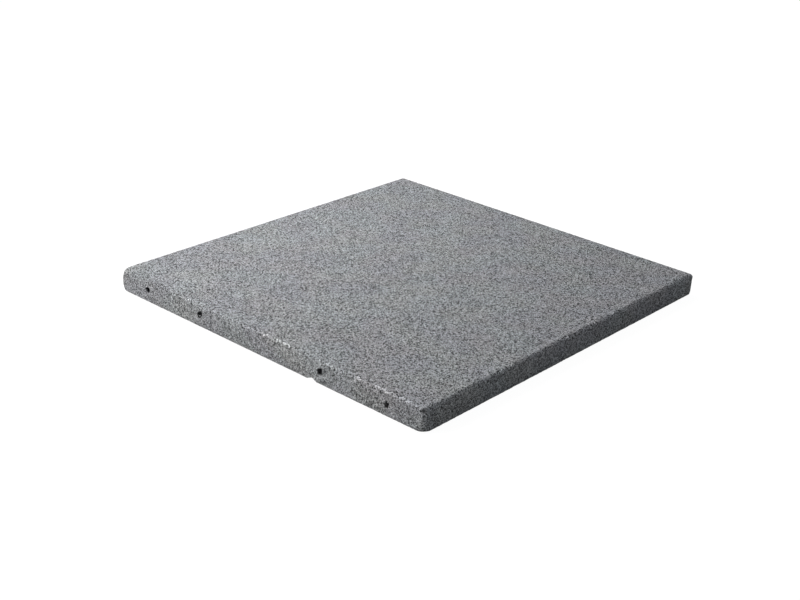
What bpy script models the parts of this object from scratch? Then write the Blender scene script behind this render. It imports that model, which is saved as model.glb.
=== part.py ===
"""Rubber safety tile: one square slab moulded from bonded rubber crumb.

The walking face is up and the tile lies on its plain underside. Its edges are rounded, and blind holes
for dowel pins run into two opposite edge faces, so that a row of tiles can be pinned together.
Metres, +Z up, with the origin at the middle of the underside.
"""

from math import pi, radians

import bmesh
import bpy
from mathutils import Matrix

# Driving dimensions of the slab
SIDE = 0.500
THICKNESS = 0.030
TOP_EDGE_RADIUS = 0.005
BOTTOM_EDGE_RADIUS = 0.004

# Plan radius of each corner, by the signs of its x and y. The corners are worn by different amounts.
CORNER_RADII = {
    (-1, -1): 0.002,
    (1, -1): 0.007,
    (1, 1): 0.0025,
    (-1, 1): 0.006,
}
ROUNDING_SEGMENTS = 6
SHARP_EDGE_ANGLE = radians(36)

# Dowel holes, alike in the front face (-Y) and the back face (+Y)
DOWEL_DIAMETER = 0.007
DOWEL_DEPTH = 0.045
DOWEL_HEIGHT = 0.0165
DOWEL_FROM_MIDDLE = (0.100, 0.200)
DOWEL_SIDES = 24
CUTTER_OVERRUN = 0.005

# A nick in the lower front edge where crumb broke away: its width, its height and its reach under the tile
NICK_X = 0.085
NICK_WIDTH = 0.016
NICK_HEIGHT = 0.0035
NICK_REACH = 0.011
BALL_SEGMENTS = 48
BALL_RINGS = 24

# Finish of the bonded crumb
RUBBER_COLOUR = (0.22, 0.225, 0.235, 1.0)
RUBBER_ROUGHNESS = 0.92


def clear_scene():
    for obj in list(bpy.data.objects):
        bpy.data.objects.remove(obj, do_unlink=True)


def new_collection(name, is_helper=False):
    collection = bpy.data.collections.new(name)
    collection.hide_render = is_helper
    bpy.context.scene.collection.children.link(collection)
    return collection


def add_object(name, bm, collection):
    mesh = bpy.data.meshes.new(name)
    bm.to_mesh(mesh)
    bm.free()
    obj = bpy.data.objects.new(name, mesh)
    collection.objects.link(obj)
    return obj


def add_cutter(name, bm, collection):
    cutter = add_object(name, bm, collection)
    cutter.hide_render = True
    cutter.display_type = "WIRE"


def rubber_material():
    material = bpy.data.materials.new("bonded_rubber_crumb")
    material.use_nodes = True
    shader = material.node_tree.nodes["Principled BSDF"]
    shader.inputs["Base Color"].default_value = RUBBER_COLOUR
    shader.inputs["Roughness"].default_value = RUBBER_ROUGHNESS
    shader.inputs["Metallic"].default_value = 0.0
    material.diffuse_color = RUBBER_COLOUR
    return material


def edge_radius(edge):
    """The rounding of one edge of the plain block: a plan corner, the top rim or the bottom rim."""
    first, second = (vert.co for vert in edge.verts)
    middle = (first + second) / 2
    if abs(first.z - second.z) > THICKNESS / 2:
        return CORNER_RADII[(1 if middle.x > 0 else -1, 1 if middle.y > 0 else -1)]
    return TOP_EDGE_RADIUS if middle.z > THICKNESS / 2 else BOTTOM_EDGE_RADIUS


def make_slab(collection):
    """A block whose edges are all rounded at once, each weighted by its own radius."""
    bm = bmesh.new()
    to_size = Matrix.Diagonal((SIDE, SIDE, THICKNESS, 1.0))
    to_floor = Matrix.Translation((0, 0, THICKNESS / 2))
    bmesh.ops.create_cube(bm, size=1.0, matrix=to_floor @ to_size)
    largest = max(CORNER_RADII.values())
    weight = bm.edges.layers.float.new("bevel_weight_edge")
    for edge in bm.edges:
        edge[weight] = edge_radius(edge) / largest
    slab = add_object("rubber_tile", bm, collection)
    rounding = slab.modifiers.new("edge_rounding", "BEVEL")
    rounding.limit_method = "WEIGHT"
    rounding.offset_type = "OFFSET"
    rounding.width = largest
    rounding.segments = ROUNDING_SEGMENTS
    rounding.use_clamp_overlap = False
    slab.data.shade_smooth()
    slab.data.set_sharp_from_angle(angle=SHARP_EDGE_ANGLE)
    return slab


def make_dowel_cutters(collection):
    """One cylinder for each hole, lying along Y, from outside the face to the hole's blind end."""
    length = DOWEL_DEPTH + CUTTER_OVERRUN
    along_y = Matrix.Rotation(pi / 2, 4, "X")
    for face_name, face_sign in (("front", -1), ("back", 1)):
        middle_y = face_sign * (SIDE / 2 - DOWEL_DEPTH + length / 2)
        places_x = sorted(side * offset for side in (-1, 1) for offset in DOWEL_FROM_MIDDLE)
        for number, x in enumerate(places_x, start=1):
            bm = bmesh.new()
            bmesh.ops.create_cone(
                bm,
                cap_ends=True,
                segments=DOWEL_SIDES,
                radius1=DOWEL_DIAMETER / 2,
                radius2=DOWEL_DIAMETER / 2,
                depth=length,
                matrix=Matrix.Translation((x, middle_y, DOWEL_HEIGHT)) @ along_y,
            )
            add_cutter(f"dowel_cutter_{face_name}_{number}", bm, collection)


def make_nick_cutter(collection):
    """A flattened ball whose middle lies on the lower front edge of the plain block."""
    to_size = Matrix.Diagonal((NICK_WIDTH / 2, NICK_REACH, NICK_HEIGHT, 1.0))
    to_edge = Matrix.Translation((NICK_X, -SIDE / 2, 0))
    bm = bmesh.new()
    bmesh.ops.create_uvsphere(
        bm, u_segments=BALL_SEGMENTS, v_segments=BALL_RINGS, radius=1.0, matrix=to_edge @ to_size
    )
    add_cutter("nick_cutter", bm, collection)


def main():
    clear_scene()
    part = new_collection("rubber_safety_tile")
    cutters = new_collection("cutters", is_helper=True)
    slab = make_slab(part)
    slab.data.materials.append(rubber_material())
    make_dowel_cutters(cutters)
    make_nick_cutter(cutters)
    cut = slab.modifiers.new("dowel_holes_and_nick", "BOOLEAN")
    cut.operation = "DIFFERENCE"
    cut.solver = "EXACT"
    cut.operand_type = "COLLECTION"
    cut.collection = cutters


main()
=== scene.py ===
"""Looks of the rubber safety tile: a granular skin around the plain slab, its lights and its camera.

The skin is one closed mesh that replaces the slab. It has the slab's edge roundings and dowel holes, with
corners worn, hole mouths broken and a nick as in the photograph. Its relief, always inward, is the crumb:
lumps, waves, pores and pits, with shade painted into its hollows. Two more meshes hold the crumbs that
stand up along the top edge and those caught in hole mouths, all inside the slab's box. The pale ones among
them partly paint the highlight along the near top edges.
Everything is in metres, with the tile's underside on the floor at z = 0.
"""

from math import atan2, cos, hypot, pi, radians, sin

import bmesh
import bpy
import numpy as np
from mathutils import Matrix, Vector
from mathutils.geometry import delaunay_2d_cdt


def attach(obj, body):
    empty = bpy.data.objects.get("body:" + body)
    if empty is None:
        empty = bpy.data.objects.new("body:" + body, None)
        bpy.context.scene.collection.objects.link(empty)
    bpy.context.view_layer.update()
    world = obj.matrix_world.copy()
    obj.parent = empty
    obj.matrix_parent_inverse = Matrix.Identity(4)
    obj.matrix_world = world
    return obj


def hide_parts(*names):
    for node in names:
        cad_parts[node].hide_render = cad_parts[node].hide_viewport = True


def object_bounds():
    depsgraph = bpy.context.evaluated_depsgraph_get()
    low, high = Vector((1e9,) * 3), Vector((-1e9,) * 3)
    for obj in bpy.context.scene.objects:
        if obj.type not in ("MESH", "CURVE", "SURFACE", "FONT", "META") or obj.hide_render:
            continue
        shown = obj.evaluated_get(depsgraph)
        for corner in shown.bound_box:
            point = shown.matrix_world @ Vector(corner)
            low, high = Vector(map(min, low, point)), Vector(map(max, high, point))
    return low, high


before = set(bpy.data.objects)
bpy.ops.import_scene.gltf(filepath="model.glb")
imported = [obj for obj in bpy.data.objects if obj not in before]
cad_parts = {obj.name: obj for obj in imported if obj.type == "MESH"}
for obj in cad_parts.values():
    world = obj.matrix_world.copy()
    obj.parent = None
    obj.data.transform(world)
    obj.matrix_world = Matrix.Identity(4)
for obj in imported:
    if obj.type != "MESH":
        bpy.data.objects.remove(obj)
CAD_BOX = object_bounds()

NODE = "rubber_tile"
BODY = "root"
SEED = 7

# The slab's form, repeated from its source
TOP_EDGE_RADIUS = 0.005
BOTTOM_EDGE_RADIUS = 0.004
DOWEL_RADIUS = 0.0035
DOWEL_DEPTH = 0.045
DOWEL_HEIGHT = 0.0165
DOWEL_PLACES = (-0.200, -0.100, 0.100, 0.200)

# Plan radius of each worn corner at the top, half way down and at the floor, by the signs of its x and y
CORNER_RADII = {
    (1, -1): (0.0030, 0.0056, 0.0135),
    (1, 1): (0.0010, 0.0012, 0.0035),
    (-1, 1): (0.0060, 0.0065, 0.0080),
    (-1, -1): (0.0135, 0.0040, 0.0095),
}

# The nick in the lower front edge: its highest place, its extent to each side, its height and its depth
NICK_X = 0.0866
NICK_LEFT = 0.0115
NICK_RIGHT = 0.0080
NICK_HEIGHT = 0.0058
NICK_REACH = 0.011

# The smooth skin lies this far inside the slab
SKIN_INSET = 0.0001

# The least plan radius of the skin's corners, and the least number of steps round one
LEAST_CORNER_RADIUS = 0.0008
LEAST_ARC_STEPS = 4

# Spacing of the skin's points on the edge faces, the walking face, the underside and inside the nick
RIM_STEP = 0.0014
TOP_STEP = 0.0024
UNDER_STEP = 0.0070
NICK_STEP = 0.0016

# Places of the slab's front and right faces, and the smooth skin's half sizes, top and underside
FRONT = CAD_BOX[0][1]
RIGHT = CAD_BOX[1][0]
HALF_X = RIGHT - SKIN_INSET
HALF_Y = CAD_BOX[1][1] - SKIN_INSET
TOP = CAD_BOX[1][2] - SKIN_INSET
UNDER = CAD_BOX[0][2] + SKIN_INSET

# Camera, as fitted to the tile's outline in the 800 x 600 frame, which is cropped off centre
IMAGE_WIDTH = 800
SENSOR_WIDTH = 36.0
FOCAL_PIXELS = 1307.7
CAMERA_AZIMUTH = radians(40.06)
CAMERA_ELEVATION = radians(26.665)
CAMERA_ROLL = radians(-2.463)
CAMERA_DISTANCE = 1.6265
AIM_RIGHT = 0.0597
AIM_DOWN = 0.0769
SHIFT_X = -0.0707
SHIFT_Y = 0.0709


def make_camera():
    """Aims at a point to the right of and below the tile's middle, from the fitted direction."""
    forward = Vector(
        (
            -sin(CAMERA_AZIMUTH) * cos(CAMERA_ELEVATION),
            cos(CAMERA_AZIMUTH) * cos(CAMERA_ELEVATION),
            -sin(CAMERA_ELEVATION),
        )
    )
    level_right = Vector((cos(CAMERA_AZIMUTH), sin(CAMERA_AZIMUTH), 0.0))
    level_up = level_right.cross(forward)
    place = -forward * CAMERA_DISTANCE + level_right * AIM_RIGHT - level_up * AIM_DOWN
    right = level_right * cos(CAMERA_ROLL) - level_up * sin(CAMERA_ROLL)
    up = level_right * sin(CAMERA_ROLL) + level_up * cos(CAMERA_ROLL)
    turn = Matrix((right, up, -forward)).transposed().to_4x4()
    data = bpy.data.cameras.new("camera")
    data.sensor_fit = "HORIZONTAL"
    data.sensor_width = SENSOR_WIDTH
    data.lens = FOCAL_PIXELS * SENSOR_WIDTH / IMAGE_WIDTH
    data.shift_x = SHIFT_X
    data.shift_y = SHIFT_Y
    camera = bpy.data.objects.new("camera", data)
    camera.matrix_world = Matrix.Translation(place) @ turn
    bpy.context.scene.collection.objects.link(camera)
    bpy.context.scene.camera = camera


# Colours of the lights
WHITE_LIGHT = (1.0, 1.0, 1.0)
WARM_LIGHT = (1.0, 0.974, 0.945)
COOL_LIGHT = (0.975, 1.0, 1.03)

# Softboxes: name, azimuth and elevation that the light comes from, distance, width, power and colour.
# Azimuth 0 is the front of the tile and 270 its left.
SOFTBOXES = (
    ("key_softbox", 270.0, 60.0, 1.0, 0.6, 7.1, WHITE_LIGHT),
    ("low_key_softbox", 270.0, 45.0, 0.8, 0.5, 2.2, WHITE_LIGHT),
    ("front_softbox", 335.0, 20.0, 1.3, 0.6, 9.3, WARM_LIGHT),
)

# A far, broad light from the front left, and the even light of the room
FAR_LIGHT_AZIMUTH = 330.0
FAR_LIGHT_ELEVATION = 30.0
FAR_LIGHT_SPREAD = radians(40)
FAR_LIGHT_STRENGTH = 0.724
ROOM_LEVEL = 0.387


def towards(azimuth, elevation):
    """The direction from the tile's middle towards a light."""
    a = radians(azimuth)
    e = radians(elevation)
    return Vector((sin(a) * cos(e), -cos(a) * cos(e), sin(e)))


def add_light(data, azimuth, elevation, distance):
    """Places a light in that direction, turned to shine on the tile's middle."""
    light = bpy.data.objects.new(data.name, data)
    light.location = towards(azimuth, elevation) * distance
    light.rotation_euler = light.location.to_track_quat("Z", "Y").to_euler()
    bpy.context.scene.collection.objects.link(light)


def make_lights():
    """The softboxes, the far light and the even light of the room."""
    for name, azimuth, elevation, distance, width, power, colour in SOFTBOXES:
        data = bpy.data.lights.new(name, "AREA")
        data.size = width
        data.energy = power
        data.color = colour
        add_light(data, azimuth, elevation, distance)
    data = bpy.data.lights.new("front_far_light", "SUN")
    data.angle = FAR_LIGHT_SPREAD
    data.energy = FAR_LIGHT_STRENGTH
    data.color = WARM_LIGHT
    add_light(data, FAR_LIGHT_AZIMUTH, FAR_LIGHT_ELEVATION, distance=1.0)

    world = bpy.data.worlds.new("studio")
    world.use_nodes = True
    background = world.node_tree.nodes["Background"]
    background.inputs["Color"].default_value = (*COOL_LIGHT, 1.0)
    background.inputs["Strength"].default_value = ROOM_LEVEL
    bpy.context.scene.world = world
    bpy.context.scene.view_settings.view_transform = "Standard"


# The photograph's ground is white without a shadow. So the floor that the camera sees glows, and so does
# the dome over it, but they light nothing. A plain floor just below throws the lights back on the tile.
FLOOR_SIZE = 40.0
DOME_RADIUS = 19.0
DOME_LOWEST = -1.0
DOME_SEGMENTS = 64
DOME_RINGS = 32
GREY_FLOOR_DROP = 0.0002

# Colour and glow of each stage piece, and the roughness of all three
WHITE_FLOOR_FINISH = ((0.06, 0.06, 0.06, 1.0), 0.96)
WHITE_DOME_FINISH = ((0.0, 0.0, 0.0, 1.0), 1.0)
GREY_FLOOR_FINISH = ((0.38, 0.38, 0.38, 1.0), 0.0)
STAGE_ROUGHNESS = 0.9
GLOW_COLOUR = (1.0, 1.0, 1.0, 1.0)


def floor_mesh(drop):
    """A wide level square, this far below the tile's underside."""
    bm = bmesh.new()
    down = Matrix.Translation((0, 0, -drop))
    bmesh.ops.create_grid(bm, x_segments=1, y_segments=1, size=FLOOR_SIZE / 2, matrix=down)
    return bm


def dome_mesh():
    """A wide ball round the tile and the camera, open below the floor."""
    bm = bmesh.new()
    bmesh.ops.create_uvsphere(bm, u_segments=DOME_SEGMENTS, v_segments=DOME_RINGS, radius=DOME_RADIUS)
    below = [vert for vert in bm.verts if vert.co.z < DOME_LOWEST]
    bmesh.ops.delete(bm, geom=below, context="VERTS")
    return bm


def stage_piece(name, bm, colour, glow):
    """A named piece of the stage with a plain finish."""
    mesh = bpy.data.meshes.new(name)
    bm.to_mesh(mesh)
    bm.free()
    material = bpy.data.materials.new(name)
    material.use_nodes = True
    shader = material.node_tree.nodes["Principled BSDF"]
    shader.inputs["Base Color"].default_value = colour
    shader.inputs["Roughness"].default_value = STAGE_ROUGHNESS
    shader.inputs["Emission Color"].default_value = GLOW_COLOUR
    shader.inputs["Emission Strength"].default_value = glow
    mesh.materials.append(material)
    piece = bpy.data.objects.new(name, mesh)
    bpy.context.scene.collection.objects.link(piece)
    return piece


def lights_nothing(piece):
    """Only the camera sees the piece: it sends no light to others and casts no shadow."""
    piece.visible_diffuse = False
    piece.visible_glossy = False
    piece.visible_transmission = False
    piece.visible_volume_scatter = False
    piece.visible_shadow = False


def make_stage():
    """A white floor and dome for the camera, and a grey floor for the light."""
    lights_nothing(stage_piece("white_floor", floor_mesh(0.0), *WHITE_FLOOR_FINISH))
    lights_nothing(stage_piece("white_dome", dome_mesh(), *WHITE_DOME_FINISH))
    grey_floor = stage_piece("grey_floor", floor_mesh(GREY_FLOOR_DROP), *GREY_FLOOR_FINISH)
    grey_floor.visible_camera = False


def add_node(tree, kind, inputs=None, **settings):
    """A node with its settings, and with each input set to a value or linked to a socket."""
    node = tree.nodes.new(kind)
    for name, value in settings.items():
        setattr(node, name, value)
    for socket, value in (inputs or {}).items():
        if isinstance(value, bpy.types.NodeSocket):
            tree.links.new(value, node.inputs[socket])
        else:
            node.inputs[socket].default_value = value
    return node


def sum_of(tree, first, second):
    return add_node(tree, "ShaderNodeMath", {0: first, 1: second}, operation="ADD").outputs[0]


def product_of(tree, first, second):
    return add_node(tree, "ShaderNodeMath", {0: first, 1: second}, operation="MULTIPLY").outputs[0]


def product_of_all(tree, values):
    result = values[0]
    for value in values[1:]:
        result = product_of(tree, result, value)
    return result


def ramp(tree, value, low, high, to_low=0.0, to_high=1.0):
    """The value's place between low and high, eased and read as a number from to_low to to_high."""
    inputs = {"Value": value, "From Min": low, "From Max": high, "To Min": to_low, "To Max": to_high}
    node = add_node(tree, "ShaderNodeMapRange", inputs, interpolation_type="SMOOTHSTEP")
    return node.outputs["Result"]


def by_face(tree, side_share, flat, side):
    """A number that goes from one value on the flat faces to another on the edge faces."""
    return ramp(tree, side_share, 0.0, 1.0, flat, side)


def vector_math(tree, operation, inputs, output="Vector"):
    return add_node(tree, "ShaderNodeVectorMath", inputs, operation=operation).outputs[output]


def mixed(tree, share, first, second):
    """The colour that lies at that share of the way from the first colour to the second."""
    return add_node(tree, "ShaderNodeMix", {0: share, 6: first, 7: second}, data_type="RGBA").outputs[2]


def cells(tree, place, size):
    """A pattern of cells about as wide as the size. Its distance is from a cell's middle, in cells."""
    return add_node(tree, "ShaderNodeTexVoronoi", {"Vector": place, "Scale": 1 / size}, feature="F1")


def noise(tree, place, size, detail):
    inputs = {"Vector": place, "Scale": 1 / size, "Detail": detail}
    return add_node(tree, "ShaderNodeTexNoise", inputs)


def own_numbers(tree, pattern):
    """Three unrelated numbers, named Red, Green and Blue, that a pattern gives with its colour."""
    return add_node(tree, "ShaderNodeSeparateColor", {0: pattern.outputs["Color"]}).outputs


def corner_radii(inset, down):
    """Radii of a level ring's corners, on curves through the three levels' radii.

    Down is 0 at the top of the tile and 1 at the floor.
    """
    shares = ((1 - down) * (1 - 2 * down), 4 * down * (1 - down), down * (2 * down - 1))
    radii = []
    for levels in CORNER_RADII.values():
        radius = sum(share * level for share, level in zip(shares, levels))
        radii.append(max(radius - inset, LEAST_CORNER_RADIUS))
    return radii


def outline_counts():
    """Steps along each corner's arc and along the straight side after it, anticlockwise."""
    corners = [sum(levels) / len(levels) for levels in CORNER_RADII.values()]
    counts = []
    for number, radius in enumerate(corners):
        side = 2 * (HALF_Y if number % 2 == 0 else HALF_X)
        straight = side - radius - corners[(number + 1) % 4]
        arc_steps = max(LEAST_ARC_STEPS, round(radius * pi / 2 / RIM_STEP))
        counts.append((arc_steps, round(straight / RIM_STEP)))
    return counts


def outline_row(inset, down):
    """One level ring of the skin, set in from the outline, anticlockwise from the front right corner."""
    centres = []
    radii = corner_radii(inset, down)
    for (sign_x, sign_y), radius in zip(CORNER_RADII, radii):
        centres.append(np.array((sign_x * (HALF_X - inset - radius), sign_y * (HALF_Y - inset - radius))))
    points = []
    for number, (arc_steps, side_steps) in enumerate(outline_counts()):
        start = (number - 1) * pi / 2
        angles = start + np.arange(arc_steps) / arc_steps * pi / 2
        points.append(centres[number] + np.column_stack((np.cos(angles), np.sin(angles))) * radii[number])
        beside = (number + 1) % 4
        normal = np.array((cos(start + pi / 2), sin(start + pi / 2)))
        begin = centres[number] + normal * radii[number]
        end = centres[beside] + normal * radii[beside]
        shares = (np.arange(side_steps) / side_steps)[:, None]
        points.append(begin + (end - begin) * shares)
    return np.concatenate(points)


def edge_profile():
    """Rows down the edge face, each as its inset from the outline and its height above the underside."""
    thickness = TOP - UNDER
    rows = []
    count = round(TOP_EDGE_RADIUS * pi / 2 / RIM_STEP)
    for angle in (pi / 2) * (1 - np.arange(count) / count):
        rows.append((TOP_EDGE_RADIUS * (1 - cos(angle)), thickness - TOP_EDGE_RADIUS * (1 - sin(angle))))
    upright = thickness - TOP_EDGE_RADIUS - BOTTOM_EDGE_RADIUS
    count = round(upright / RIM_STEP)
    for share in np.arange(count) / count:
        rows.append((0.0, thickness - TOP_EDGE_RADIUS - upright * share))
    count = round(BOTTOM_EDGE_RADIUS * pi / 2 / RIM_STEP)
    for angle in (pi / 2) * np.arange(count + 1) / count:
        rows.append((BOTTOM_EDGE_RADIUS * (1 - cos(angle)), BOTTOM_EDGE_RADIUS * (1 - sin(angle))))
    return rows


# Spread of the points on the flat faces, in steps: from row to row, from the ring's low and high sides,
# and how far each point strays
ROW_GAP = 0.866
LOW_MARGIN = 0.7
HIGH_MARGIN = 0.6
STRAY = 0.22


def scattered_points(ring, radii, step, rng):
    """Loosely hexagonal points inside the ring, kept clear of it by about half a step."""
    low = ring.min(axis=0)
    high = ring.max(axis=0)
    rows = np.arange(low[1] + LOW_MARGIN * step, high[1] - HIGH_MARGIN * step, step * ROW_GAP)
    points = []
    for number, y in enumerate(rows):
        shift = LOW_MARGIN * step if number % 2 else (LOW_MARGIN + 0.5) * step
        xs = np.arange(low[0] + shift, high[0] - HIGH_MARGIN * step, step)
        points.append(np.stack((xs, np.full_like(xs, y)), axis=1))
    points = np.concatenate(points)
    for (sign_x, sign_y), radius in zip(CORNER_RADII, radii):
        corner = np.array((high[0] if sign_x > 0 else low[0], high[1] if sign_y > 0 else low[1]))
        away = (points - corner) * (sign_x, sign_y) + radius
        beyond = (away > 0).all(axis=1) & (np.hypot(*away.T) > radius - HIGH_MARGIN * step)
        points = points[~beyond]
    return points + rng.uniform(-STRAY, STRAY, points.shape) * step


def with_nick_points(ring, points):
    """Swaps the underside's sparse points near the nick for a fine grid."""
    left = NICK_X - NICK_LEFT - 2 * NICK_STEP
    right = NICK_X + NICK_RIGHT + 2 * NICK_STEP
    front = ring[:, 1].min() + NICK_STEP
    back = -HALF_Y + NICK_REACH + 2 * NICK_STEP
    inside = (points[:, 0] > left) & (points[:, 0] < right) & (points[:, 1] < back)
    xs, ys = np.meshgrid(np.arange(left, right, NICK_STEP), np.arange(front, back, NICK_STEP))
    return np.concatenate((points[~inside], np.column_stack((xs.ravel(), ys.ravel()))))


# For the triangulation: only what lies inside the border is kept, and points nearer than this are one
INSIDE_ONLY = 1
CAP_TOLERANCE = 1e-9


def cap_faces(ring, inner):
    """Triangles that fill the ring through the inner points. Ring points come first in the numbering."""
    flat = [Vector(point) for point in np.concatenate((ring, inner))]
    count = len(ring)
    border = [(i, (i + 1) % count) for i in range(count)]
    _, _, faces, sources, _, _ = delaunay_2d_cdt(flat, border, [], INSIDE_ONLY, CAP_TOLERANCE)
    number = [source[0] for source in sources]
    return [tuple(number[i] for i in face) for face in faces]


def open_nick(points):
    """Lifts the points in the nick to its roof, which falls off evenly to both sides and inward."""
    along = points[:, 0] - NICK_X
    along = along / np.where(along < 0, NICK_LEFT, NICK_RIGHT)
    inward = (points[:, 1] + HALF_Y) / NICK_REACH
    roof = NICK_HEIGHT * np.clip(1 - np.abs(along) - inward**2, 0, 1)
    points[:, 2] = np.maximum(points[:, 2], roof)


def make_smooth_skin(rng):
    """The points and faces of the closed skin without relief."""
    rows = edge_profile()
    points = []
    for inset, height in rows:
        flat = outline_row(inset, 1 - height / (TOP - UNDER))
        points.append(np.column_stack((flat, np.full(len(flat), UNDER + height))))
    columns = len(points[0])
    faces = []
    for row in range(len(rows) - 1):
        for column in range(columns):
            beside = (column + 1) % columns
            upper = row * columns
            lower = upper + columns
            faces.append((upper + column, lower + column, lower + beside, upper + beside))

    # The walking face closes the first row, and the underside, with its faces turned over, the last
    for row, step, up in ((0, TOP_STEP, 1), (len(rows) - 1, UNDER_STEP, -1)):
        ring = points[row][:, :2]
        radii = corner_radii(rows[row][0], 0 if up > 0 else 1)
        inner = scattered_points(ring, radii, step, rng)
        if up < 0:
            inner = with_nick_points(ring, inner)
        start = sum(len(block) for block in points)
        places = np.concatenate((np.arange(columns) + row * columns, np.arange(len(inner)) + start))
        points.append(np.column_stack((inner, np.full(len(inner), points[row][0, 2]))))
        faces += [tuple(int(places[i]) for i in face[::up]) for face in cap_faces(ring, inner)]
    points = np.concatenate(points)
    open_nick(points)
    return points, faces


# Points nearer than this are one, as where the nick lifts several of them to its roof
LEAST_GAP = 0.00001

# The skin's cells are halved this near a dowel hole's middle, where they lie in the flat of the edge face
FINE_RADIUS = 0.0085
FLAT_TOLERANCE = 0.00001


def refine_near_holes(bm):
    """Halves the cells of the front and back faces near the dowel holes."""
    edges = set()
    for face in bm.faces:
        middle = face.calc_center_median()
        if abs(abs(middle.y) - HALF_Y) > FLAT_TOLERANCE:
            continue
        if any(hypot(middle.x - x, middle.z - DOWEL_HEIGHT) < FINE_RADIUS for x in DOWEL_PLACES):
            edges.update(face.edges)
    bmesh.ops.subdivide_edges(bm, edges=list(edges), cuts=1, use_grid_fill=True)


# Relief of the crumb. Cell sizes and depths are in metres, and every depth is inward from the smooth skin.
# Of two depths, the first is for the flat faces and the second for the edge faces.
LUMP_SIZE = 0.0034
LUMP_DEPTHS = (0.00018, 0.00028)
WAVE_SIZE = 0.012
WAVE_DETAIL = 3.0
WAVE_DEPTH = 0.00030
PORE_SPACING = 0.0095
PORE_DEPTHS = (0.0005, 0.0009)

# Where each ramp of the relief starts and ends: the upward part of the normal, from flat faces to edge
# faces, the distance from a lump's middle, the wave's noise, and the distance from a pore's middle
EDGE_RAMP = (0.95, 0.45)
LUMP_RAMP = (0.1, 0.75)
WAVE_RAMP = (0.35, 0.70)
PORE_RAMP = (0.17, 0.04)

# The depth at which the crumb's hollows get the fullest shade that the material paints into them
FULL_HOLLOW_SHADE = 0.0015

# Names of the two values that the relief leaves on the mesh for the material. By the first, it paints
# shade into the hollows.
HOLLOW_SHADE = "hollow_shade"
SIDE_SHARE = "side_share"


def store_value(tree, geometry, name, value):
    """The geometry with a value kept on its points under a name."""
    inputs = {"Geometry": geometry, "Name": name, "Value": value}
    kind = "GeometryNodeStoreNamedAttribute"
    return add_node(tree, kind, inputs, data_type="FLOAT", domain="POINT").outputs["Geometry"]


def relief_nodes():
    """Moves each point of the skin inward by the depth of the crumb's lumps, waves and pores there."""
    tree = bpy.data.node_groups.new("crumb_relief", "GeometryNodeTree")
    tree.interface.new_socket("Geometry", in_out="INPUT", socket_type="NodeSocketGeometry")
    tree.interface.new_socket("Geometry", in_out="OUTPUT", socket_type="NodeSocketGeometry")
    start = tree.nodes.new("NodeGroupInput")
    end = tree.nodes.new("NodeGroupOutput")
    place = tree.nodes.new("GeometryNodeInputPosition").outputs["Position"]
    normal = tree.nodes.new("GeometryNodeInputNormal").outputs["Normal"]
    upward = add_node(tree, "ShaderNodeSeparateXYZ", {0: normal}).outputs["Z"]
    flatness = add_node(tree, "ShaderNodeMath", {0: upward}, operation="ABSOLUTE").outputs[0]
    edge = ramp(tree, flatness, *EDGE_RAMP)

    lump = ramp(tree, cells(tree, place, LUMP_SIZE).outputs["Distance"], *LUMP_RAMP)
    lump_depth = product_of(tree, lump, by_face(tree, edge, *LUMP_DEPTHS))
    wave = noise(tree, place, WAVE_SIZE, WAVE_DETAIL).outputs[0]
    wave_depth = product_of(tree, ramp(tree, wave, *WAVE_RAMP, 0.0, WAVE_DEPTH), edge)
    pore = ramp(tree, cells(tree, place, PORE_SPACING).outputs["Distance"], *PORE_RAMP)
    pore_depth = product_of(tree, pore, by_face(tree, edge, *PORE_DEPTHS))

    depth = sum_of(tree, sum_of(tree, lump_depth, wave_depth), pore_depth)
    inward = product_of(tree, depth, -1.0)
    offset = vector_math(tree, "SCALE", {0: normal, "Scale": inward})
    # The depth also sets how much shade the material paints into the hollows
    hollow_shade = product_of(tree, depth, 1 / FULL_HOLLOW_SHADE)
    kept = store_value(tree, start.outputs["Geometry"], HOLLOW_SHADE, hollow_shade)
    kept = store_value(tree, kept, SIDE_SHARE, edge)
    moved = add_node(tree, "GeometryNodeSetPosition", {"Geometry": kept, "Offset": offset})
    tree.links.new(moved.outputs["Geometry"], end.inputs["Geometry"])
    return tree


def apply_modifiers(obj):
    """Makes the mesh that the modifiers give the object's own."""
    graph = bpy.context.evaluated_depsgraph_get()
    mesh = bpy.data.meshes.new_from_object(obj.evaluated_get(graph))
    obj.modifiers.clear()
    obj.data = mesh


# How steeply a pit's side falls away from its rim
PIT_STEEPNESS = 1.5

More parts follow.
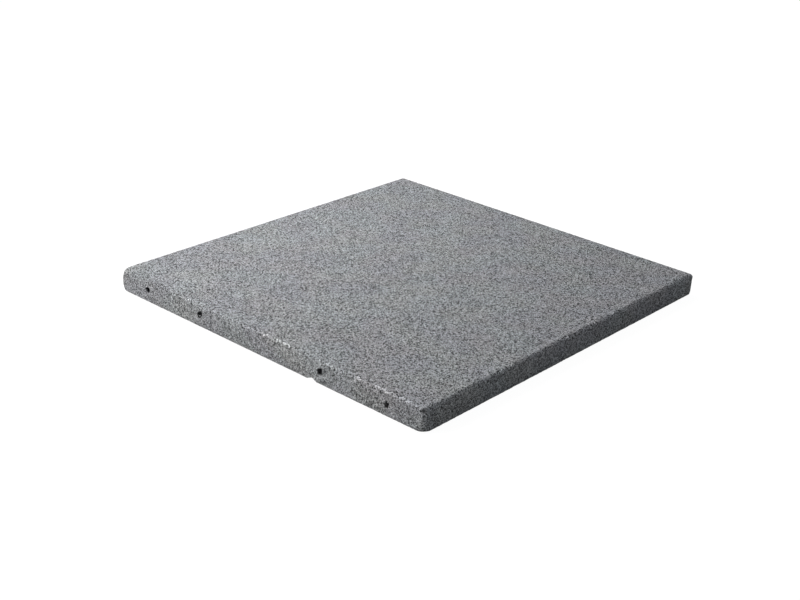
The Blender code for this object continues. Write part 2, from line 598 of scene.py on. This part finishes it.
# Broken spots seen on the near faces: middle, way in, radius, depth and painted shade, which is 1 or more
PITS = (
    ((0.1062, FRONT, 0.0196), (0, 1, 0), 0.0026, 0.0024, 1.0),
    ((-0.0215, FRONT, 0.0056), (0, 1, 1), 0.0034, 0.0016, 1.0),
    ((0.1740, FRONT, 0.0060), (0, 1, 0.4), 0.0044, 0.0014, 1.0),
    ((0.1720, FRONT, 0.0200), (0, 1, 0), 0.0025, 0.0012, 1.0),
    ((0.1850, FRONT, 0.0205), (0, 1, 0), 0.0025, 0.0012, 1.0),
    ((0.1065, FRONT, 0.0058), (0, 1, 0.4), 0.0050, 0.0014, 1.0),
    ((0.0779, FRONT, 0.0255), (0, 1, 0), 0.0026, 0.0018, 1.0),
    # The two at the front right corner get more painted shade
    ((0.2476, -0.2482, 0.0268), (-1, 1, -0.3), 0.0040, 0.0030, 1.7),
    ((0.2482, -0.2482, 0.0208), (-1, 1, 0), 0.0028, 0.0022, 1.7),
    ((0.2283, FRONT, 0.0054), (0, 1, 0.4), 0.0044, 0.0012, 1.0),
    ((0.2155, FRONT, 0.0050), (0, 1, 0.4), 0.0044, 0.0012, 1.0),
    ((RIGHT, -0.2116, 0.0217), (-1, 0, 0), 0.0042, 0.0018, 1.0),
    ((RIGHT, -0.0970, 0.0209), (-1, 0, 0), 0.0036, 0.0016, 1.0),
    ((RIGHT, 0.0714, 0.0235), (-1, 0, 0), 0.0034, 0.0016, 1.0),
    ((RIGHT, -0.1528, 0.0197), (-1, 0, 0), 0.0026, 0.0018, 1.0),
    ((RIGHT, 0.2107, 0.0233), (-1, 0, 0), 0.0026, 0.0016, 1.0),
)


def press_pits(bm):
    """Sinks a round pit at each of the broken spots, and notes on the mesh how much shade to paint there.
    """
    hollow_shade = bm.verts.layers.float[HOLLOW_SHADE]
    pits = [(Vector(middle), Vector(way).normalized(), *sizes) for middle, way, *sizes in PITS]
    for vert in bm.verts:
        for middle, way, radius, depth, shade_strength in pits:
            share = (vert.co - middle).length / radius
            if share < 1.0:
                fall = (1 - share**2) ** PIT_STEEPNESS
                vert.co += way * depth * fall
                vert[hollow_shade] = max(vert[hollow_shade], shade_strength * fall)


# Mouths of the dowel holes, where crumb broke away: how far the middle has moved to the right and upward,
# half width, half height, lobes, their depth and turn, and raggedness. The front ones lean, with their
# right-hand side higher.
FRONT_LEAN = 0.40
FRONT_MOUTHS = (
    (0.0014, 0.0004, 0.0043, 0.0039, 3, 0.06, 0.5, 0.08),
    (-0.0010, 0.0008, 0.0042, 0.0043, 2, 0.03, 0.0, 0.05),
    (-0.0014, 0.0006, 0.0040, 0.0041, 4, 0.12, pi, 0.02),
    (-0.0030, -0.0012, 0.0033, 0.0036, 5, 0.27, -pi / 2, 0.04),
)
BACK_MOUTHS = ((0.0, 0.0, 0.0036, 0.0036, 2, 0.03, 0.0, 0.07),) * len(DOWEL_PLACES)

# Rings of points down a dowel hole: depth and how far the mouth has settled to the round bore there
HOLE_RINGS = (
    (0.0006, 0.1),
    (0.0020, 0.4),
    (0.0050, 0.8),
    (0.0120, 1.0),
    (0.0270, 1.0),
    (DOWEL_DEPTH, 1.0),
)

# How many times each of the waves that fray a mouth repeats round it
WOBBLE_WAVES = (3, 4, 6, 7, 9)

# The value inside a dowel hole at which the material paints its darkest shade
DEEP_SHADE = 2.0


def mouth_outline(form, lean, rng):
    """The mouth's radius as a function of the angle round its middle."""
    half_width, half_height, lobes, lobe_depth, turn, raggedness = form
    turns = rng.uniform(0, 2 * pi, len(WOBBLE_WAVES))

    def radius_at(leaning_angle):
        across = cos(leaning_angle)
        upward = sin(leaning_angle) - lean * across
        angle = atan2(upward, across)
        plain = 1 / hypot(cos(angle) / half_width, sin(angle) / half_height)
        wobble = sum(cos(wave * angle + start) for wave, start in zip(WOBBLE_WAVES, turns)) / 2
        uneven = 1 + lobe_depth * cos(lobes * angle + turn) + raggedness * wobble
        return plain * uneven / hypot(across, upward)

    return radius_at


def cut_hole(bm, x, sign_y, shift, radius_at):
    """Opens the mouth in the skin and runs the hole in, as rings that settle to a round bore."""
    hollow_shade = bm.verts.layers.float[HOLLOW_SHADE]
    side_share = bm.verts.layers.float[SIDE_SHARE]
    shift_x, shift_z = shift
    mouth_x = x + shift_x
    mouth_z = DOWEL_HEIGHT + shift_z

    def polar(point):
        return atan2(point.z - mouth_z, point.x - mouth_x), hypot(point.x - mouth_x, point.z - mouth_z)

    doomed = []
    for face in bm.faces:
        middle = face.calc_center_median()
        if abs(middle.x - x) > FINE_RADIUS or middle.y * sign_y < HALF_Y - FINE_RADIUS:
            continue
        angle, radius = polar(middle)
        if radius < radius_at(angle):
            doomed.append(face)
    bmesh.ops.delete(bm, geom=doomed, context="FACES")
    rim = [tuple(edge.verts) for edge in bm.edges if edge.is_boundary]
    angles = {}
    for vert in {vert for pair in rim for vert in pair}:
        angle, _ = polar(vert.co)
        angles[vert] = angle
        vert.co.x = mouth_x + cos(angle) * radius_at(angle)
        vert.co.z = mouth_z + sin(angle) * radius_at(angle)
        # The mouth's rim is marked for painted shade
        vert[hollow_shade] = 1.0
    for depth, settled in HOLE_RINGS:
        inner = {}
        inner_angles = {}
        for vert, angle in angles.items():
            radius = radius_at(angle) * (1 - settled) + DOWEL_RADIUS * settled
            place_x = x + shift_x * (1 - settled) + cos(angle) * radius
            place_z = DOWEL_HEIGHT + shift_z * (1 - settled) + sin(angle) * radius
            inner[vert] = bm.verts.new((place_x, sign_y * (HALF_Y - depth), place_z))
            # Down the hole the material paints its darkest shade
            inner[vert][hollow_shade] = DEEP_SHADE
            inner[vert][side_share] = 1.0
            inner_angles[inner[vert]] = angle
        for first, second in rim:
            bm.faces.new((first, second, inner[second], inner[first]))
        rim = [(inner[first], inner[second]) for first, second in rim]
        angles = inner_angles
    end = bm.verts.new((x, sign_y * (HALF_Y - DOWEL_DEPTH), DOWEL_HEIGHT))
    for first, second in rim:
        bm.faces.new((first, second, end))


def make_skin(rng):
    """The closed skin with its relief, pits and dowel holes."""
    points, faces = make_smooth_skin(rng)
    mesh = bpy.data.meshes.new("tile_skin")
    mesh.from_pydata(points.tolist(), [], faces)
    bm = bmesh.new()
    bm.from_mesh(mesh)
    bmesh.ops.remove_doubles(bm, verts=bm.verts, dist=LEAST_GAP)
    refine_near_holes(bm)
    bm.to_mesh(mesh)
    bm.free()
    skin = bpy.data.objects.new("tile_skin", mesh)
    bpy.context.scene.collection.objects.link(skin)
    relief = skin.modifiers.new("crumb_relief", "NODES")
    relief.node_group = relief_nodes()
    apply_modifiers(skin)
    bm = bmesh.new()
    bm.from_mesh(skin.data)
    press_pits(bm)
    for sign_y, mouths, lean in ((-1, FRONT_MOUTHS, FRONT_LEAN), (1, BACK_MOUTHS, 0.0)):
        for x, mouth in zip(DOWEL_PLACES, mouths):
            cut_hole(bm, x, sign_y, mouth[:2], mouth_outline(mouth[2:], lean, rng))
    bmesh.ops.recalc_face_normals(bm, faces=bm.faces)
    bm.to_mesh(skin.data)
    bm.free()
    skin.data.shade_smooth()
    return skin


# Crumbs that stand up along the rounded top edges: how many on each side, how far they reach along it from
# its middle, and their least and greatest radius. The angle is 0 at the edge face and a right angle at the
# walking face. The sink, in radii, is how far a crumb's middle is moved inward and down from the rounding.
EDGE_CRUMBS_PER_SIDE = 75
EDGE_CRUMB_REACH = 0.238
EDGE_CRUMB_RADII = (0.0006, 0.0012)
EDGE_CRUMB_ANGLES = (radians(15), radians(75))
EDGE_CRUMB_SINK = 0.75

# Clusters of pale crumbs on the front and right top edges, which partly paint the highlight along them:
# side, place along it, half length and count
PALE_HIGHLIGHT_CLUSTERS = (
    (0, -0.121, 0.0015, 2),
    (0, -0.102, 0.0012, 1),
    (0, 0.0105, 0.0015, 2),
    (0, 0.0308, 0.0022, 4),
    (0, 0.0446, 0.0050, 12),
    (0, 0.0980, 0.0012, 1),
    (0, 0.1080, 0.0012, 2),
    (0, 0.1554, 0.0028, 4),
    (0, 0.1875, 0.0085, 12),
    (0, 0.1995, 0.0018, 3),
    (0, 0.2165, 0.0026, 6),
    (0, 0.2258, 0.0022, 5),
    (0, 0.2370, 0.0020, 4),
    (1, -0.128, 0.0015, 2),
    (1, -0.109, 0.0015, 2),
    (1, -0.059, 0.0012, 1),
    (1, -0.011, 0.0012, 2),
    (1, 0.043, 0.0012, 1),
    (1, 0.078, 0.0012, 2),
)
PALE_HIGHLIGHT_RADII = (0.0009, 0.0015)
PALE_HIGHLIGHT_ANGLES = (radians(45), radians(75))
PALE_HIGHLIGHT_SINK = 0.40

# Crumbs caught in the first front hole's mouth, and a pale one in the second's that partly paints a
# highlight: x, depth, z and radius
MOUTH_CRUMBS = (
    (-0.2026, 0.0018, 0.0150, 0.0022),
    (-0.2000, 0.0020, 0.0130, 0.0020),
)
PALE_HIGHLIGHT_MOUTH_CRUMB = (-0.1021, 0.0014, 0.0150, 0.0007)

# How far a crumb departs from a ball: the distance of each point, and the stretch along three axes
CRUMB_LUMPS = (0.75, 1.20)
CRUMB_STRETCH = (0.7, 1.3)


def crumb_ball(rng, middle, radius):
    """Points and faces of one lumpy crumb, kept inside the skin's box."""
    bm = bmesh.new()
    bmesh.ops.create_icosphere(bm, subdivisions=1, radius=radius)
    points = np.array([vert.co for vert in bm.verts])
    faces = np.array([[vert.index for vert in face.verts] for face in bm.faces])
    bm.free()
    turn = np.array(Matrix.Rotation(rng.uniform(0, 2 * pi), 3, Vector(rng.normal(size=3))))
    points *= rng.uniform(*CRUMB_LUMPS, (len(points), 1))
    points = points @ (turn * rng.uniform(*CRUMB_STRETCH, 3)).T + middle
    return np.clip(points, (-HALF_X, -HALF_Y, UNDER), (HALF_X, HALF_Y, TOP)), faces


def edge_point(side, along, angle, sink):
    """A point near the rounded top edge of one side. Side 0 is the front, then anticlockwise."""
    inset = TOP_EDGE_RADIUS * (1 - cos(angle)) + sink
    height = TOP - TOP_EDGE_RADIUS * (1 - sin(angle)) - sink
    out = HALF_Y - inset
    return np.array(Matrix.Rotation(side * pi / 2, 3, "Z") @ Vector((along, -out, height)))


def make_crumbs(name, rng, places):
    """One mesh of many crumbs, each given by its middle and radius."""
    points = []
    faces = []
    for middle, radius in places:
        crumb_points, crumb_faces = crumb_ball(rng, middle, radius)
        faces += (crumb_faces + sum(len(block) for block in points)).tolist()
        points.append(crumb_points)
    mesh = bpy.data.meshes.new(name)
    mesh.from_pydata(np.concatenate(points).tolist(), [], faces)
    mesh.shade_smooth()
    crumbs = bpy.data.objects.new(name, mesh)
    bpy.context.scene.collection.objects.link(crumbs)
    return crumbs


def mouth_crumb_place(x, depth, z, radius):
    """Middle and radius of a crumb in the mouth of a front hole."""
    return np.array((x, -HALF_Y + depth, z)), radius


def plain_crumb_places(rng):
    """Middles and radii of the crumbs along all four top edges and in the first hole's mouth."""
    places = []
    for side in range(4):
        for _ in range(EDGE_CRUMBS_PER_SIDE):
            radius = rng.uniform(*EDGE_CRUMB_RADII)
            angle = rng.uniform(*EDGE_CRUMB_ANGLES)
            along = rng.uniform(-EDGE_CRUMB_REACH, EDGE_CRUMB_REACH)
            places.append((edge_point(side, along, angle, EDGE_CRUMB_SINK * radius), radius))
    places += [mouth_crumb_place(*crumb) for crumb in MOUTH_CRUMBS]
    return places


def pale_highlight_crumb_places(rng):
    """Middles and radii of the pale crumbs on the near top edges and in the second hole's mouth.
    Their paleness is partly a painted highlight.
    """
    places = []
    for side, along, half_length, count in PALE_HIGHLIGHT_CLUSTERS:
        for shift in np.linspace(-half_length, half_length, count):
            radius = rng.uniform(*PALE_HIGHLIGHT_RADII)
            angle = rng.uniform(*PALE_HIGHLIGHT_ANGLES)
            places.append((edge_point(side, along + shift, angle, PALE_HIGHLIGHT_SINK * radius), radius))
    places.append(mouth_crumb_place(*PALE_HIGHLIGHT_MOUTH_CRUMB))
    return places


# Finish of the crumb. Sizes are in metres. Tones multiply the rubber's colour, and in a pair of them the
# first is for the flat faces and the second for the edge faces. A ramp is the pattern's values where it
# starts and ends, and after them the tones that it has there.
FINE_CRUMB = 0.0009
FINE_DARK_RAMP = (0.22, 0.37, 0.11, 1.0)
FINE_PALE_RAMP = (0.75, 0.90, 0.0, 0.65)
FINE_GAP_RAMP = (0.75, 0.35, 0.55, 1.0)
# Painted shade: darker in the relief's hollows and pits, and darkest down the dowel holes
HOLLOW_SHADE_RAMP = (0.25, 1.0, 1.0, 0.50)
DEEP_SHADE_RAMP = (1.0, DEEP_SHADE, 1.0, 0.40)
MOTTLE_SIZE = 0.045
MOTTLE_DETAIL = 3.0
MOTTLE_RAMP = (0.3, 0.7, 0.96, 1.04)

# Coarse grains: their width, the scales of their pattern, which make them taller than wide, and the least
# and the greatest tone that one has
COARSE_CRUMB = 0.0022
COARSE_SCALES = (1.0, 1.0, 0.7)
COARSE_LEAST_TONES = (0.95, 0.70)
COARSE_GREATEST_TONES = (1.06, 1.05)

# The noise that moves the grains' sides: the width of its waves, its detail and how far it moves them
WARP_SIZE = 0.001125
WARP_DETAIL = 1.0
WARP_REACH = 0.00081

# Dark spots: their spacing, their two tones, the share of the cells with a full one and with any at all,
# and where their rim starts and ends, in cells
DARK_SPOT_SPACING = 0.0030
DARK_SPOT_TONES = (0.05, 0.48)
DARK_SPOT_SHARE = (0.60, 0.65)
DARK_SPOT_RIM = (0.32, 0.41)

# The top edge is a little duller near the left corner: middle and half sizes of that place
DULL_PLACE = (-0.200, FRONT, 0.0305)
DULL_HALF_SIZES = (0.070, 0.013, 0.007)
DULL_RAMP = (0.3, 1.0, 0.83, 1.0)

# Each coarse crumb's colour lies between these two, and broad patches lie between the tints of each pair
COOL_RUBBER = (0.3227, 0.3341, 0.3507, 1.0)
WARM_RUBBER = (0.3266, 0.3341, 0.3447, 1.0)
VIOLET_TINT = (1.0075, 0.9925, 1.0075, 1.0)
OLIVE_TINT = (0.9925, 1.0075, 0.9925, 1.0)
BLUE_TINT = (0.987, 1.000, 1.013, 1.0)
AMBER_TINT = (1.013, 1.000, 0.987, 1.0)
TINTS = {"Red": (VIOLET_TINT, OLIVE_TINT), "Green": (BLUE_TINT, AMBER_TINT)}
TINT_PATCH_SIZE = 0.045
TINT_PATCH_DETAIL = 0.0
TINT_RAMP = (0.35, 0.65)

# Gloss and bump. Heights are shares of the bump's, and a crown's ramp runs from a grain's rim to its top.
ROUGHNESSES = (0.62, 0.95)
SPECULAR_LEVEL = 0.35
CRUMB_BUMP = 0.0006
FINE_CROWN_RAMP = (0.8, 0.1)
FINE_HEIGHTS = (0.3, 1.0)
FINE_FACE_HEIGHTS = (1.0, 0.35)
COARSE_CROWN_RAMP = (0.9, 0.1, 0.0, 0.3)

# How much paler each of the two kinds of crumb is made, and its least and greatest tone. The pale
# kind's paleness is partly a painted highlight.
PLAIN_TONES = (1.0, 0.02, 2.9)
PALE_HIGHLIGHT_TONES = (2.2, 1.6, 2.9)


def bent_place(tree, place):
    """The place, moved a little by noise, so that no grain has straight sides."""
    warp = noise(tree, place, WARP_SIZE, WARP_DETAIL).outputs["Color"]
    centred = vector_math(tree, "SUBTRACT", {0: warp, 1: (0.5, 0.5, 0.5)})
    shift = vector_math(tree, "SCALE", {0: centred, "Scale": WARP_REACH})
    return vector_math(tree, "ADD", {0: place, 1: shift})


def spot_tone(tree, bent, side_share):
    """The tone of the dark spots, which lie round the middles of most cells."""
    spot = cells(tree, bent, DARK_SPOT_SPACING)
    least = by_face(tree, side_share, *DARK_SPOT_TONES)
    kept = ramp(tree, own_numbers(tree, spot)["Red"], *DARK_SPOT_SHARE, least, 1.0)
    return ramp(tree, spot.outputs["Distance"], *DARK_SPOT_RIM, kept, 1.0)


def dull_tone(tree, place):
    """The tone of the dull place, which fades out to its half sizes."""
    away = vector_math(tree, "SUBTRACT", {0: place, 1: DULL_PLACE})
    away = vector_math(tree, "DIVIDE", {0: away, 1: DULL_HALF_SIZES})
    far = vector_math(tree, "LENGTH", {0: away}, "Value")
    return ramp(tree, far, *DULL_RAMP)


def crumb_hue(tree, place, crumb_share):
    """The rubber's colour before its tone, cooler or warmer by crumb and faintly tinted by patch."""
    hue = mixed(tree, crumb_share, COOL_RUBBER, WARM_RUBBER)
    patch = own_numbers(tree, noise(tree, place, TINT_PATCH_SIZE, TINT_PATCH_DETAIL))
    for channel, (first, second) in TINTS.items():
        tint = mixed(tree, ramp(tree, patch[channel], *TINT_RAMP), first, second)
        hue = vector_math(tree, "MULTIPLY", {0: hue, 1: tint})
    return hue


def crumb_material(name, paleness_and_highlight, least_tone, greatest_tone):
    """Grains of rubber in two sizes, each with its own tone, the coarse ones mostly on edge faces."""
    material = bpy.data.materials.new(name)
    material.use_nodes = True
    tree = material.node_tree
    shader = tree.nodes["Principled BSDF"]
    place = tree.nodes.new("ShaderNodeTexCoord").outputs["Object"]
    hollow_shade = add_node(tree, "ShaderNodeAttribute", attribute_name=HOLLOW_SHADE).outputs["Fac"]
    side_share = add_node(tree, "ShaderNodeAttribute", attribute_name=SIDE_SHARE).outputs["Fac"]
    bent = bent_place(tree, place)
    fine = cells(tree, bent, FINE_CRUMB)
    fine_own = own_numbers(tree, fine)
    coarse = cells(tree, vector_math(tree, "MULTIPLY", {0: bent, 1: COARSE_SCALES}), COARSE_CRUMB)
    coarse_own = own_numbers(tree, coarse)

    dark_to_mid = ramp(tree, fine_own["Red"], *FINE_DARK_RAMP)
    mid_to_pale = ramp(tree, fine_own["Red"], *FINE_PALE_RAMP)
    coarse_least = by_face(tree, side_share, *COARSE_LEAST_TONES)
    coarse_greatest = by_face(tree, side_share, *COARSE_GREATEST_TONES)
    mottle = noise(tree, place, MOTTLE_SIZE, MOTTLE_DETAIL).outputs[0]
    tones = (
        sum_of(tree, dark_to_mid, mid_to_pale),
        ramp(tree, fine.outputs["Distance"], *FINE_GAP_RAMP),
        ramp(tree, coarse_own["Red"], 0.0, 1.0, coarse_least, coarse_greatest),
        spot_tone(tree, bent, side_share),
        # Painted shade in the hollows, pits and dowel holes
        ramp(tree, hollow_shade, *HOLLOW_SHADE_RAMP),
        ramp(tree, hollow_shade, *DEEP_SHADE_RAMP),
        ramp(tree, mottle, *MOTTLE_RAMP),
        dull_tone(tree, place),
        # On the pale crumbs this is partly a painted highlight
        paleness_and_highlight,
    )
    tone = product_of_all(tree, tones)
    tone = add_node(tree, "ShaderNodeClamp", {0: tone, 1: least_tone, 2: greatest_tone}).outputs[0]
    hue = crumb_hue(tree, place, coarse_own["Green"])
    colour = vector_math(tree, "SCALE", {0: hue, "Scale": tone})
    tree.links.new(colour, shader.inputs["Base Color"])

    roughness = ramp(tree, fine_own["Blue"], 0.0, 1.0, *ROUGHNESSES)
    tree.links.new(roughness, shader.inputs["Roughness"])
    shader.inputs["Specular IOR Level"].default_value = SPECULAR_LEVEL

    own_height = ramp(tree, fine_own["Blue"], 0.0, 1.0, *FINE_HEIGHTS)
    fine_height = product_of(tree, own_height, by_face(tree, side_share, *FINE_FACE_HEIGHTS))
    fine_rise = product_of(tree, ramp(tree, fine.outputs["Distance"], *FINE_CROWN_RAMP), fine_height)
    coarse_crown = ramp(tree, coarse.outputs["Distance"], *COARSE_CROWN_RAMP)
    height = sum_of(tree, fine_rise, product_of(tree, coarse_crown, side_share))
    bump = add_node(tree, "ShaderNodeBump", {"Height": height, "Distance": CRUMB_BUMP, "Strength": 1.0})
    tree.links.new(bump.outputs["Normal"], shader.inputs["Normal"])
    return material


def main():
    rng = np.random.default_rng(SEED)
    make_camera()
    make_lights()
    make_stage()
    rubber = crumb_material("bonded_rubber_crumb", *PLAIN_TONES)
    skin = make_skin(rng)
    skin.data.materials.append(rubber)
    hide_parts(NODE)
    edge_crumbs = make_crumbs("edge_crumbs", rng, plain_crumb_places(rng))
    edge_crumbs.data.materials.append(rubber)
    pale_highlight_crumbs = make_crumbs("pale_highlight_crumbs", rng, pale_highlight_crumb_places(rng))
    pale_highlight_crumbs.data.materials.append(crumb_material("pale_highlight_rubber_crumb", *PALE_HIGHLIGHT_TONES))
    for piece in (skin, edge_crumbs, pale_highlight_crumbs):
        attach(piece, BODY)


main()
